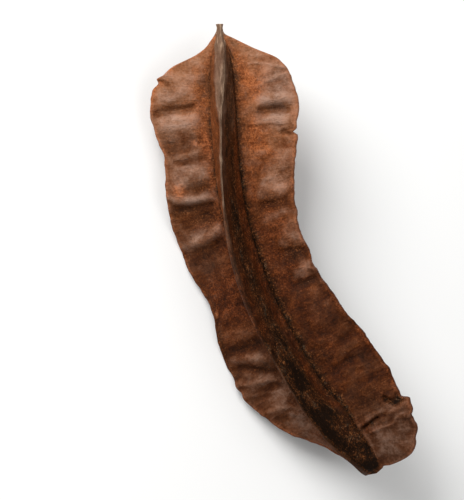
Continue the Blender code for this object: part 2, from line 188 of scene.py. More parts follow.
# A low rim runs along the foot of each keel.
RIM_SHARE = 0.1
RIM_HALF_WIDTH = 0.05
RIM_HEIGHT = 0.0005
RIM_SPAN = (0.38, 0.96, 0.1)

# The right wing's last lobe stands up over a crack across the wing.
LOBE_SPAN = (0.9, 0.985)
LOBE_STEP = 0.0012
LOBE_BLEND = 0.008
LOBE_END_BLEND = 0.02
LOBE_FOOT = 0.3

# Small wrinkles: (half a wave along the pod, half a wave across the wing, height), a row for each size. On
# a broad wing they are this share as high at the root, and twice as high as there at the edge.
WING_WRINKLES = ((3.6, 12.0, 0.4), (1.8, 5.0, 0.18), (1.1, 1.6, 0.07))
KEEL_WRINKLES = ((12.0, 1.2, 0.12), (2.2, 1.8, 0.14), (1.1, 1.1, 0.09))
WRINKLE_START = 0.6
# How far noise bends the folds, wrinkles and creases, and how the folds swell and fade.
FOLD_WARP = 0.0009
FOLD_FADE = 0.35
FOLD_WARP_LENGTH = 0.0075
WRINKLE_WARP = 0.003
WRINKLE_WARP_LENGTH = 0.012
CREASE_WARP = 0.25
# Where the seeds of each noise start, and after how many cells a noise repeats.
WRINKLE_SEED, BLOTCH_SEED, RAGGED_SEED, GROOVE_SEED, FOLD_SEED, FADE_SEED = 20, 60, 700, 800, 900, 1400
NOISE_CELLS = 128

# The groove where two wings meet, and the lip along a broad wing's edge.
GROOVE_DEPTH = 0.0006
GROOVE_HALF_WIDTH = 0.0007
GROOVE_SPAN = (0.05, 0.98, 0.05)
LIP_HEIGHT = 0.00025
LIP_HALF_WIDTH = 0.0011

# The outline's small irregularity: (half a wave, depth), one row for each size.
RAGGED = ((6.0, 0.3), (2.6, 0.22), (1.3, 0.12))
NICK_REACH = 8.0
# Torn nicks in the edges, and tags that stand out where the depth is negative: (place, half width, depth).
NICKS = {
    RIGHT: (
        (0.112, 4, -0.4), (0.19, 4, -0.3), (0.234, 0.7, 1.4), (0.246, 2.6, -0.8), (0.29, 6, -0.7),
        (0.52, 4, -0.5), (0.828, 2.2, -1.1), (0.886, 0.8, 0.5), (0.893, 0.8, -1.6), (0.903, 2, -1.4),
        (0.914, 0.6, 0.7), (0.922, 1.6, 0.9), (0.945, 0.7, 1.2),
    ),
    LEFT: (
        (0.119, 0.8, -1.2), (0.13, 1, 0.9), (0.205, 3, 0.4), (0.262, 1.6, 0.4), (0.575, 1.4, 0.4),
        (0.722, 1.2, 0.6), (0.85, 5, -0.4),
    ),
}

# Creases pressed into the two upper faces: half width, depth, and then each point's place and share. A
# negative depth is a raised ridge.
RIGHT_CREASES = (
    (0.9, 0.7, 0.185, 0.38, 0.188, 0.6, 0.19, 0.86), (0.6, -0.7, 0.056, 0.45, 0.061, 0.65, 0.068, 0.95),
    (0.6, -0.8, 0.069, 0.28, 0.075, 0.63, 0.082, 0.95), (0.6, -0.8, 0.089, 0.38, 0.096, 0.68, 0.112, 0.98),
    (0.7, -0.7, 0.124, 0.96, 0.126, 0.75, 0.131, 0.54, 0.137, 0.42),
    (0.6, 0.4, 0.216, 0.18, 0.218, 0.45, 0.221, 0.76), (0.9, 0.9, 0.233, 0.8, 0.234, 0.92, 0.235, 1),
    (1.2, -0.3, 0.322, 0.32, 0.298, 0.56, 0.276, 0.8), (1, -0.3, 0.341, 0.4, 0.322, 0.66, 0.309, 0.9),
    (0.8, -0.2, 0.352, 0.46, 0.338, 0.7, 0.33, 0.92), (1.6, 0.4, 0.386, 0.34, 0.39, 0.58, 0.386, 0.82),
    (0.9, 0.6, 0.502, 0.62, 0.505, 0.8, 0.514, 0.99), (0.7, -0.4, 0.533, 0.8, 0.538, 0.9, 0.545, 1),
    (0.7, -0.4, 0.548, 0.74, 0.552, 0.86, 0.56, 0.98), (0.7, -0.3, 0.566, 0.7, 0.57, 0.86, 0.577, 0.98),
    (0.5, 2.2, 0.913, 0.02, 0.911, 0.12, 0.908, 0.22, 0.903, 0.34, 0.902, 0.4),
    (0.5, 0.9, 0.902, 0.4, 0.9, 0.48, 0.901, 0.56),
    (0.7, -0.4, 0.9, 0.2, 0.894, 0.38, 0.894, 0.59, 0.9, 0.77),
    (0.6, -0.6, 0.926, 0.14, 0.921, 0.36, 0.92, 0.58, 0.91, 0.75, 0.911, 0.86, 0.917, 0.95),
    (0.6, 0.3, 0.917, 0.3, 0.915, 0.56, 0.905, 0.73, 0.905, 0.86),
    (0.7, 1.8, 0.878, 0.73, 0.886, 0.78, 0.89, 0.84, 0.889, 0.92, 0.884, 1),
    (0.6, -0.6, 0.884, 0.66, 0.89, 0.73, 0.899, 0.86, 0.899, 0.98),
    (0.6, 0.5, 0.938, 0.75, 0.945, 0.92, 0.946, 1), (0.5, 0.4, 0.922, 0.81, 0.919, 0.91, 0.92, 1),
    (0.5, -0.2, 0.95, 0.15, 0.936, 0.54, 0.938, 0.83), (0.5, -0.2, 0.962, 0.15, 0.95, 0.53, 0.952, 0.79),
)
LEFT_CREASES = (
    (0.6, 1, 0.131, 0.78, 0.126, 0.9, 0.125, 1), (0.8, 0.8, 0.184, 0.91, 0.178, 0.6, 0.169, 0.26),
    (1.6, 0.5, 0.216, 0.94, 0.221, 0.56, 0.238, 0.2), (1, 0.5, 0.256, 0.88, 0.252, 0.62, 0.246, 0.36),
    (0.6, 0.5, 0.272, 0.82, 0.276, 0.5, 0.282, 0.24),
    (1.1, 0.9, 0.345, 1, 0.36, 0.78, 0.362, 0.38, 0.366, 0.08),
    (1.1, -0.3, 0.334, 0.98, 0.347, 0.78, 0.35, 0.5, 0.349, 0.2),
    (1.4, -0.4, 0.43, 0.9, 0.42, 0.5, 0.413, 0.04), (1.1, 0.6, 0.442, 0.98, 0.44, 0.56, 0.432, 0.1),
    (0.9, -0.4, 0.653, 0.92, 0.667, 0.58, 0.681, 0.33),
    (0.9, 0.6, 0.672, 0.95, 0.682, 0.7, 0.697, 0.45, 0.722, 0.24),
    (0.6, -0.7, 0.708, 0.98, 0.716, 0.63, 0.727, 0.36, 0.75, 0.16),
    (0.6, -0.5, 0.686, 0.46, 0.705, 0.34, 0.73, 0.3), (0.6, -0.5, 0.735, 0.95, 0.744, 0.62, 0.762, 0.32),
    (0.8, -0.5, 0.778, 0.96, 0.787, 0.7, 0.801, 0.36, 0.816, 0.24),
    (1.6, 0.6, 0.806, 0.84, 0.818, 0.62, 0.836, 0.4),
)

# How wide a wing and a keel count as, for measuring distances on them.
WING_SPAN = 0.021
KEEL_SPAN = 0.017


def ease(value):
    """0 below 0, 1 above 1, and a smooth rise in between."""
    value = np.clip(value, 0.0, 1.0)
    return value * value * (3 - 2 * value)


def rise(value, start, blend):
    """0 up to the start, rising smoothly to 1 over the blend."""
    return ease((value - start) / blend)


def between(value, low, high, blend):
    """1 from low to high, fading to 0 over blend inside each end."""
    return rise(value, low, blend) * ease((high - value) / blend)


def bell(distance, half_width):
    """1 at no distance, falling away smoothly over about the half width."""
    return np.exp(-((distance / half_width) ** 2))


def level(place, steps):
    """The second column of steps at each place, on straight lines between them."""
    return np.interp(place, *zip(*steps))


def along(stations, place):
    """The stations' columns at each place, read from a smooth curve through them."""
    table = np.array(stations)
    places, values = table[:, 0], MM * table[:, 1:]
    slopes = np.gradient(values, places, axis=0)
    after = np.clip(np.searchsorted(places, place, side="right"), 1, len(places) - 1)
    span = (places[after] - places[after - 1])[:, None]
    share = np.clip((place - places[after - 1])[:, None] / span, 0.0, 1.0)
    eased = ease(share)
    leave = share * (1 - share) ** 2 * span * slopes[after - 1]
    arrive = share**2 * (share - 1.0) * span * slopes[after]
    return (values[after - 1] * (1 - eased) + values[after] * eased + leave + arrive).T


def crowded_ends(steps, crowding):
    """Shares from 0 to 1 in a number of steps, closer together towards both ends."""
    even = np.linspace(0.0, 1.0, steps + 1)
    return even - crowding * np.sin(2 * math.pi * even) / (2 * math.pi)


def noise(x, y, seed):
    """Smooth noise from -1 to 1 over a plane, with about one bump to each unit square."""
    lattice = np.random.default_rng(seed).uniform(-1.0, 1.0, (NOISE_CELLS, NOISE_CELLS))
    left, low = np.floor(x).astype(int), np.floor(y).astype(int)
    right_share, high_share = ease(x - left), ease(y - low)

    def corner(i, j):
        return lattice[(left + i) % NOISE_CELLS, (low + j) % NOISE_CELLS]

    lower = corner(0, 0) * (1 - right_share) + corner(1, 0) * right_share
    upper = corner(0, 1) * (1 - right_share) + corner(1, 1) * right_share
    return lower * (1 - high_share) + upper * high_share


def distance_to(route, length, width):
    """How far each point of a face lies from a route over it, both given as (length, width) on it."""
    nearest = np.full(np.broadcast(length, width).shape, np.inf)
    for (x0, y0), (x1, y1) in zip(route[:-1], route[1:]):
        dx, dy = x1 - x0, y1 - y0
        share = np.clip(((length - x0) * dx + (width - y0) * dy) / (dx * dx + dy * dy), 0.0, 1.0)
        nearest = np.minimum(nearest, np.hypot(length - x0 - share * dx, width - y0 - share * dy))
    return nearest


class Core:
    """The core's middle line at given places, with its directions to the tip, right wing and upper keel."""

    def __init__(self, place):
        fine = np.linspace(0.0, 1.0, CORE_SAMPLES)
        heading = START_HEADING + BEND * rise(fine, BEND_SPAN[0], BEND_SPAN[1] - BEND_SPAN[0])
        steps = np.stack([np.cos(heading), np.sin(heading), 0 * heading], axis=1) * CORE_LENGTH * fine[1]
        line = np.concatenate([np.zeros((1, 3)), np.cumsum((steps[1:] + steps[:-1]) / 2, axis=0)])
        self.middle = np.stack([np.interp(place, fine, column) for column in line.T], axis=1)
        self.to_tip = np.stack([np.interp(place, fine, column) for column in steps.T], axis=1)
        self.to_tip /= np.linalg.norm(self.to_tip, axis=1)[:, None]
        up = np.array([0.0, 0.0, 1.0])
        sideways = np.cross(up, self.to_tip)
        turned = rise(place, TWIST_SPAN[0], TWIST_SPAN[1] - TWIST_SPAN[0])
        twist = (START_TWIST + TWIST * turned)[:, None]
        self.to_right = np.cos(twist) * sideways + np.sin(twist) * up
        self.to_upper = np.cos(twist) * up - np.sin(twist) * sideways


def folds_by_rule(seed, height):
    """Folds for a face that has no table of its own."""
    draw = random.Random(seed)
    folds = []
    place = HIDDEN_FOLD_SPAN[0]
    while place < HIDDEN_FOLD_SPAN[1]:
        slant = draw.uniform(-0.03, 0.03)
        half_width = HIDDEN_FOLD_HALF_WIDTH * draw.uniform(0.7, 1.4)
        crest = height * draw.uniform(0.5, 1.1) * (-1) ** len(folds)
        folds.append((place, slant, half_width, crest, draw.uniform(0.05, 0.35), draw.uniform(0.8, 1.0)))
        place += HIDDEN_FOLD_SPACING * draw.uniform(0.7, 1.3)
    return folds


def creases_by_rule(seed, count):
    """Creases for a face that has no table of its own."""
    draw = random.Random(seed)
    creases = []
    for _ in range(count):
        place, slant = draw.uniform(0.12, 0.88), draw.uniform(-0.03, 0.03)
        start, end = draw.uniform(0.1, 0.5), draw.uniform(0.6, 1.0)
        middle = (place + slant * 0.5 + draw.uniform(-0.008, 0.008), (start + end) / 2)
        depth = draw.choice((-0.4, 0.4, 0.7))
        creases.append((draw.uniform(0.6, 1.4), depth, place, start, *middle, place + slant, end))
    return creases


# Patches of the two upper faces: (place, share, half length, half width, strength).
# Rust is the orange, mealy skin near the roots. Ash patches are greyer skin and, in part, painted sheen.
# Dark patches are stains and, in part, painted shade in cracks; light patches are paler skin and, in part,
# painted highlights.
RIGHT_PATCHES = {
    "rust": (
        (0.075, 0.15, 6, 4, 0.9), (0.1, 0.16, 7, 4, 0.9), (0.118, 0.22, 4, 4, 1.1),
        (0.138, 0.33, 5.5, 3.6, 1.2), (0.17, 0.12, 8, 3, 0.8), (0.215, 0.24, 7, 6, 0.8),
        (0.25, 0.28, 8, 6, 0.8), (0.292, 0.36, 6, 6, 0.8), (0.31, 0.15, 12, 4, 0.8),
        (0.36, 0.15, 12, 4, 0.7), (0.43, 0.45, 20, 11, 0.7), (0.53, 0.45, 20, 12, 0.8),
        (0.61, 0.4, 18, 10, 0.5), (0.72, 0.3, 20, 6, 0.4), (0.915, 0.24, 2, 4, 0.9),
    ),
    "ash_and_sheen": (
        (0.1, 0.8, 6, 5, 0.3), (0.146, 0.77, 7, 6, 0.9), (0.2, 0.68, 4, 6, 0.5), (0.29, 0.85, 6, 4, 0.5),
        (0.345, 0.72, 6, 5, 0.6), (0.47, 0.88, 5, 4, 0.6), (0.552, 0.9, 5, 3, 0.4),
        (0.66, 0.7, 10, 6, 0.3), (0.94, 0.51, 11, 17, 0.85),
    ),
    "dark": (
        (0.06, 0.06, 6, 1.4, 1), (0.042, 0.5, 1.2, 3, 0.6), (0.18, 0.62, 1.8, 5, 0.55),
        (0.381, 0.55, 4, 6, 0.6), (0.4, 0.2, 4, 3, 0.4), (0.506, 0.78, 4, 6, 0.6), (0.74, 0.25, 4, 3, 0.4),
        (0.87, 0.43, 8, 8, 0.35), (0.881, 0.75, 0.9, 1.2, 1.3), (0.888, 0.81, 0.6, 1.6, 1.3),
        (0.89, 0.86, 0.9, 1.8, 1.5), (0.887, 0.96, 0.8, 1, 1.5), (0.912, 0.03, 1, 1.6, 1),
        (0.907, 0.26, 1, 3, 0.95), (0.997, 0.5, 1.6, 20, 0.8),
    ),
    "light": (
        (0.19, 0.92, 5, 3, 0.15), (0.255, 0.62, 11, 10, 0.07), (0.345, 0.68, 6, 4.5, 0.36),
        (0.465, 0.88, 7, 5, 0.25), (0.55, 0.9, 6, 3.5, 0.12), (0.607, 0.75, 3.5, 3, 0.2),
        (0.894, 0.54, 0.8, 4, 0.22), (0.92, 0.47, 0.6, 5, 0.22), (0.942, 0.51, 11, 17, 0.19),
        (0.935, 0.04, 14, 0.9, 0.32),
    ),
}
LEFT_PATCHES = {
    "rust": (
        (0.085, 0.1, 8, 3, 0.7), (0.115, 0.25, 8, 4, 0.5), (0.17, 0.12, 15, 3.5, 0.9),
        (0.225, 0.12, 10, 3.2, 1), (0.242, 0.33, 1.4, 1.6, 1), (0.285, 0.05, 8, 2, 0.6),
        (0.33, 0.74, 2.1, 2.3, 2), (0.403, 0.42, 0.9, 5, 0.8), (0.545, 0.45, 11, 11, 1.1),
        (0.58, 0.3, 12, 8, 0.5),
    ),
    "ash_and_sheen": (
        (0.145, 0.62, 5, 5, 0.2), (0.2, 0.72, 4, 6, 0.6), (0.232, 0.6, 6, 7, 0.5), (0.292, 0.6, 7, 8, 0.6),
        (0.35, 0.5, 2.4, 11, 0.8), (0.419, 0.45, 2.8, 10, 0.8), (0.47, 0.55, 6, 8, 0.4),
        (0.672, 0.45, 2.5, 7, 0.6), (0.75, 0.5, 18, 11, 0.7), (0.83, 0.5, 13, 9, 0.8),
    ),
    "dark": (
        (0.12, 0.09, 14, 3.6, 0.48), (0.168, 0.5, 2, 8, 0.4), (0.236, 0.82, 6, 4, 0.5),
        (0.246, 0.45, 5, 6, 0.35), (0.322, 0.34, 2.8, 7, 0.6), (0.366, 0.6, 2.6, 10, 0.6),
        (0.384, 0.4, 5, 8, 0.55), (0.44, 0.6, 2, 9, 0.4), (0.6, 0.97, 15, 1.6, 0.6),
        (0.644, 0.6, 2, 8, 0.35), (0.702, 0.38, 2.4, 4, 0.6), (0.815, 0.72, 3, 3, 0.4),
    ),
    "light": (
        (0.242, 0.33, 0.7, 0.9, 0.8), (0.186, 0.45, 3, 8, 0.1), (0.205, 0.3, 6, 3, 0.1),
        (0.292, 0.55, 5, 8, 0.05), (0.33, 0.74, 2.2, 2.2, 0.42), (0.35, 0.6, 2.4, 9, 0.07),
        (0.419, 0.5, 2.6, 11, 0.12), (0.567, 0.93, 1.4, 1.2, 0.7), (0.66, 0.75, 1.4, 4, 0.1),
        (0.674, 0.46, 1.7, 4, 0.2), (0.628, 0.5, 6, 10, 0.15), (0.81, 0.55, 26, 11, 0.28),
        (0.835, 0.97, 8, 1, 0.3), (0.89, 0.9, 8, 2, 0.28),
    ),
}
NO_PATCHES = {"rust": (), "ash_and_sheen": (), "dark": (), "light": ()}

# The skin pales towards the stalk, over this stretch. Its fold crests are painted paler and its valleys
# darker, partly as worn, dusty skin and partly as painted highlight and painted shade on the folds; a crest
# is palest at this height.
PALE_END = 0.62
PALE_BLEND = 0.52
CREST_FULL = 0.00065
CREST_PASSES = 60

# Where the pale stalk ends, and how rusty the skin is along a broad wing's edge and at its root.
STALK_END = 0.03
STALK_BLEND = 0.012
RIM_RUST = 0.6
RIM_RUST_WIDTH = 0.0007
ROOT_RUST = 0.85
ROOT_SHARE = 0.2
ROOT_SPAN = (0.03, 0.6, 0.15)

# The grain's fibres run along a keel and across a broad wing, this many times as long as they are wide.
FIBRE_STRETCH = 6.0

# A keel's worn edge: (place, width, how pale it is).
KEEL_EDGE = (
    (0, 3, 0.92), (0.06, 1.2, 0.75), (0.14, 1, 0.75), (0.2, 0.6, 0.8), (0.28, 0.5, 1), (0.4, 0.8, 0.48),
    (0.47, 1, 0.26), (0.55, 0.8, 0.1), (0.66, 0.4, 0.12), (0.72, 0.25, 0.4), (1, 0.25, 0.3),
)
# How much of a keel's edge thickness is worn away: (place, share).
KEEL_EDGE_WEAR = ((0.15, 0.0), (0.22, 0.5), (0.6, 0.5), (0.67, 0.75), (0.9, 0.75), (0.97, 0.0))
# A lighter line runs along a keel's edge, over its right flank, from the stalk to mid-pod.
EDGE_LINE_HALF_WIDTH = 0.0004
EDGE_LINE_SPAN = (0.02, 0.45, 0.1)
EDGE_LINE_STRENGTH = 1.1
# A keel's flank: where its dark skin starts, how long and wide its blotches are, and how dark it is on each
# side (place, darkness). Near the edge it is lighter over a span, and on its right a darker band runs along
# it (strength, share, half width).
FLANK_START = 0.22
FLANK_BLEND = 0.2
FLANK_BLOTCH = (0.007, 0.0024)
BLOTCH_STRENGTH = 0.45
FLANK_DARKNESS = {
    -1: ((0.0, 0.55), (0.18, 0.58), (0.32, 0.85), (0.4, 0.78), (0.58, 0.52), (0.68, 1.0), (0.8, 1.08)),
    1: ((0.0, 0.15),),
}
NEAR_EDGE = (0.55, 0.25)
NEAR_EDGE_LIGHTER = 0.6
NEAR_EDGE_SPAN = (0.04, 0.68, 0.06)
DARK_BAND = (0.42, 0.55, 0.17)
DARK_BAND_SPAN = (0.36, 0.66, 0.08)
# The rest of a keel's look by side: its tone, how ashen it is near its edge, how much less rusty it is than
# elsewhere, and how pale near the stalk, each over its span.
KEEL_TONE = {-1: 0.16, 1: 0.26}
KEEL_ASH = {-1: 0.8, 1: 0.5}
KEEL_ASH_SPAN = {-1: (0.02, 0.38, 0.08), 1: (0.02, 0.5, 0.08)}
KEEL_RUST_LOSS = {-1: 0.0, 1: 0.5}
KEEL_RUST_LOSS_SPAN = (0.04, 0.52, 0.1)
KEEL_RUST_SPAN = (0.03, 1.0, 0.2)
FLANK_PALE = {-1: 0.35, 1: 0.0}
FLANK_PALE_SPAN = (0.04, 0.24, 0.04)
# The dark line in the groove to a keel's right and to its left, partly dirt and partly painted shade:
# (place, half width). It is uneven.
GROOVE_DARK = {
    -1: ((0.04, 1.6), (0.12, 2.1), (0.3, 1.4), (0.42, 1.4), (0.5, 2.1), (0.84, 2.1), (0.9, 0.4)),
    1: ((0.04, 0.3), (0.09, 0.5), (0.13, 1.2), (0.21, 1.2), (0.24, 0.7), (0.32, 0.5), (0.5, 0.3)),
}
GROOVE_DARK_SPAN = (0.03, 0.98, 0.05)
GROOVE_UNEVEN = 0.5
GROOVE_UNEVEN_LENGTH = 0.0016
MASKS = ("tone", "rust", "ash_and_sheen", "dark", "pale")
GRAIN = ("grain_along", "grain_across")


def patch_mask(patches, place, share, span):
    """How strongly patches cover each point of a face."""
    covered = 0 * (place + share)
    for middle, middle_share, half_length, half_width, strength in patches:
        lengthwise = (place - middle) * CORE_LENGTH / half_length
        off = np.hypot(lengthwise, (share - middle_share) * span / half_width)
        covered = np.maximum(covered, strength * bell(off, MM))
    return covered


def blurred(relief, passes):
    """The relief smoothed along the pod."""
    for _ in range(passes):
        padded = np.concatenate([relief[:1], relief, relief[-1:]])
        relief = (padded[:-2] + 2 * padded[1:-1] + padded[2:]) / 4
    return relief


class Wing:
    """One of the four wings, standing out of the core at a number of quarter turns from the right wing.

    Turns go from the right wing to the upper keel, the left wing and the lower keel. A wing's side is 1
    where it faces the next wing of that order, and -1 where it faces the one before.
    """

    def __init__(self, quarter, folds, creases, patches):
        self.quarter, self.folds, self.creases, self.patches = quarter, folds, creases, patches
        self.angle = quarter * math.pi / 2
        self.is_keel = quarter in (UPPER, LOWER)
        self.span = KEEL_SPAN if self.is_keel else WING_SPAN

    def fold_relief(self, place, share, side, detail):
        """How far the folds raise the skin. In detail they waver, and swell and fade along themselves."""
        raised = 0 * (place + share)
        length, width = place * CORE_LENGTH / FOLD_WARP_LENGTH, share * self.span / FOLD_WARP_LENGTH
        own = 10 * self.quarter + side
        warp = FOLD_WARP * noise(length, width, FOLD_SEED + own) if detail else 0.0
        fade = 1 + FOLD_FADE * noise(1.5 * length, 1.5 * width, FADE_SEED + own) if detail else 1.0
        for middle, slant, half_width, height, start, end in self.folds[side]:
            offset = (place - middle - slant * (share - 0.5)) * CORE_LENGTH + warp
            across = between(share, start - FOLD_BLEND, end + FOLD_BLEND, 2 * FOLD_BLEND)
            raised += MM * height * fade * bell(offset, MM * half_width) * across
        return raised

    def small_relief(self, place, share, side):
        """How far the wrinkles, grain and creases raise the skin."""
        length, width = place * CORE_LENGTH, share * self.span
        seed = 100 * self.quarter + 10 * side + WRINKLE_SEED
        warp = WRINKLE_WARP * noise(length / WRINKLE_WARP_LENGTH, width / WRINKLE_WARP_LENGTH, seed)
        raised = 0 * (place + share)
        sizes = KEEL_WRINKLES if self.is_keel else WING_WRINKLES
        for size, (half_long, half_wide, height) in enumerate(sizes, start=1):
            waves = noise((length + warp) / (MM * half_long), width / (MM * half_wide), seed + size)
            raised += MM * height * waves
        if not self.is_keel:
            raised *= WRINKLE_START * (1 + share)
            raised += LIP_HEIGHT * bell((1 - share) * self.span, LIP_HALF_WIDTH)
        for half_width, depth, *points in self.creases[side]:
            route = [(p * CORE_LENGTH, s * self.span) for p, s in zip(points[::2], points[1::2])]
            off = distance_to(route, length + CREASE_WARP * warp, width)
            raised -= MM * depth * bell(off, MM * half_width)
        return raised

    def relief(self, place, share, side, detail):
        """How far everything on the skin raises it from the wing's plain cross-section."""
        raised = self.fold_relief(place, share, side, detail)
        if self.is_keel:
            raised += RIM_HEIGHT * bell(share - RIM_SHARE, RIM_HALF_WIDTH) * between(place, *RIM_SPAN)
        else:
            raised += PULP_SWELL * np.sin(math.pi * share)
        if detail:
            raised += self.small_relief(place, share, side)
        return raised * between(place, *RELIEF_SPAN) * ease(share / FOOT_SHARE)

    def lift(self, place, share, lean):
        """How far the wing's middle bends out of its plane, towards the next wing."""
        lifted = lean * share**2
        if not self.is_keel:
            waving = share**2 * between(place, *WAVES_SPAN)
            for waves, height, phase in EDGE_WAVES:
                turns = waves * place + phase + self.angle
                lifted = lifted + MM * height * np.sin(2 * math.pi * turns) * waving
        if self.quarter == RIGHT:
            risen = ease((place - LOBE_SPAN[0]) / LOBE_BLEND + 0.5)
            risen = risen * ease((LOBE_SPAN[1] - place) / LOBE_END_BLEND)
            lifted = lifted + LOBE_STEP * risen * ease(share / LOBE_FOOT)
        return lifted

    def edge_loss(self, place):
        """How much of the edge is missing where it is ragged or torn."""
        loss = np.zeros(place.shape)
        if self.is_keel:
            return loss
        length = place * CORE_LENGTH
        for size, (half_wave, depth) in enumerate(RAGGED):
            seed = RAGGED_SEED + self.quarter + 5 * size
            loss += MM * depth * noise(length / (MM * half_wave), 0 * length, seed)
        for middle, half_width, depth in NICKS[self.quarter]:
            loss += MM * depth * bell((place - middle) * CORE_LENGTH, MM * half_width)
        return loss * between(place, *RELIEF_SPAN)

    def face(self, core, place, share, side, detail):
        """One side's points, with places down the rows and shares along the columns, and their masks."""
        stations = STATIONS[self.quarter]
        reach, sweep, lean, edge = (column[:, None] for column in along(stations, place[:, 0]))
        half_width, half_height = (column[:, None] for column in along(VALLEY, place[:, 0]))
        if (self.quarter, side) in ((RIGHT, 1), (UPPER, -1)):
            half_width = half_width + MM * level(place, TIP_SWELL)
        foot_out, foot = (half_height, half_width) if self.is_keel else (half_width, half_height)
        raised = self.relief(place, share, side, detail)
        if detail and self.is_keel:
            edge = edge * (1 - level(place, KEEL_EDGE_WEAR))
        taper = KEEL_TAPER if self.is_keel else WING_TAPER
        half = edge + (foot - edge) * (1 - share) ** taper + raised
        least = DETAIL_HALF_THICKNESS if detail else LEAST_HALF_THICKNESS
        half = np.maximum(half, np.minimum(edge, least))
        out = foot_out + (reach - EDGE_ROUNDING * edge - foot_out) * share
        if detail:
            out = out - self.edge_loss(place) * share**NICK_REACH
        aside = self.lift(place, share, lean) + side * half
        swept = sweep * share**SWEEP_POWER - self.cut_back(place, share, side)
        points = self.placed(core, out, aside, swept)
        from_valley = share * (reach - foot_out)
        groove_shade_and_dirt = self.groove_shade_and_dirt(place, from_valley, side)
        if detail:
            inward = core.middle[:, None, :] - points
            inward /= np.linalg.norm(inward, axis=2)[..., None]
            groove = bell(from_valley, GROOVE_HALF_WIDTH) * between(place, *GROOVE_SPAN)
            points = points + GROOVE_DEPTH * groove[..., None] * inward
        return points, self.masks(place, share, side, raised, groove_shade_and_dirt, reach - foot_out, edge)

    def cut_back(self, place, share, side):
        """How far the tip is cut back, which it is on its left only, up to the keels' edges."""
        slant = MM * level(place, TIP_SLANT) + 0 * share
        if self.quarter == LEFT:
            return slant
        return slant * (1 - share) if (self.quarter, side) in ((UPPER, 1), (LOWER, -1)) else 0 * slant

    def groove_shade_and_dirt(self, place, from_valley, side):
        """How dark the skin is at distances from the valley on this side, in a line of uneven width: dirt
        and painted shade in the groove.
        """
        beside_keel = side if self.is_keel else -side
        seed = GROOVE_SEED + self.quarter + side
        waver = noise(place * CORE_LENGTH / GROOVE_UNEVEN_LENGTH, 0 * from_valley, seed)
        half_width = MM * level(place, GROOVE_DARK[beside_keel]) * (1 + GROOVE_UNEVEN * waver)
        strength = 0.85 + 0.25 * rise(place, 0.25, 0.1)
        return strength * bell(from_valley, half_width) * between(place, *GROOVE_DARK_SPAN)

    def placed(self, core, out, aside, swept):
        """Points at distances out of the core, aside of the wing's plane and towards the tip."""
        outwards = math.cos(self.angle) * core.to_right + math.sin(self.angle) * core.to_upper
        sideways = math.cos(self.angle) * core.to_upper - math.sin(self.angle) * core.to_right
        parts = ((out, outwards), (aside, sideways), (swept, core.to_tip))
        return core.middle[:, None, :] + sum(size[..., None] * axis[:, None, :] for size, axis in parts)

    def masks(self, place, share, side, raised, groove, depth, half_edge):
        """What the skin is like at each point, by the names in MASKS and GRAIN."""
        # The crest mask paints the folds' crests paler and ashier and their valleys darker: partly worn,
        # dusty skin, partly painted highlight and painted shade on the folds.
        crest = np.clip((raised - blurred(raised, CREST_PASSES)) / CREST_FULL, -1.0, 1.0)
        paler = ease((PALE_END - place) / PALE_BLEND)
        from_edge = (1 - share) * depth
        length = place * CORE_LENGTH + 0 * share
        if self.is_keel:
            return {
                **self.keel_masks(place, share, side, groove, from_edge, length),
                "tone": KEEL_TONE[side] + 0.3 * paler + 0.08 * crest,
                "grain_along": length / FIBRE_STRETCH,
                "grain_across": side * (from_edge + half_edge),
            }
        rows = self.patches[side]
        spots = {kind: patch_mask(rows[kind], place, share, self.span) for kind in rows}
        root = bell(share, ROOT_SHARE) * between(place, *ROOT_SPAN)
        rim = bell(from_edge, RIM_RUST_WIDTH)
        stalk = ease((STALK_END - place) / STALK_BLEND) + 0 * share
        # Tone and ash take the crests' painted highlight, dark takes the valleys' painted shade and the
        # groove's painted shade and dirt, and light patches add painted highlights to the tone.
        return {
            "tone": 0.24 + 0.54 * paler + 0.18 * crest + 0.14 * bell(from_edge, 0.0006) + spots["light"],
            "rust": np.maximum(spots["rust"], np.maximum(ROOT_RUST * root, RIM_RUST * rim)),
            "ash_and_sheen": np.maximum(spots["ash_and_sheen"], 0.5 * ease(crest)) * (1 - 0.7 * ease(-crest)),
            "dark": np.maximum(np.maximum(groove, spots["dark"]), 0.4 * ease(-crest - 0.4)),
            "pale": np.maximum(0.92 * stalk, 0.15 * bell(from_edge, 0.0005) * paler),
            "grain_along": length,
            "grain_across": share * depth / FIBRE_STRETCH,
        }

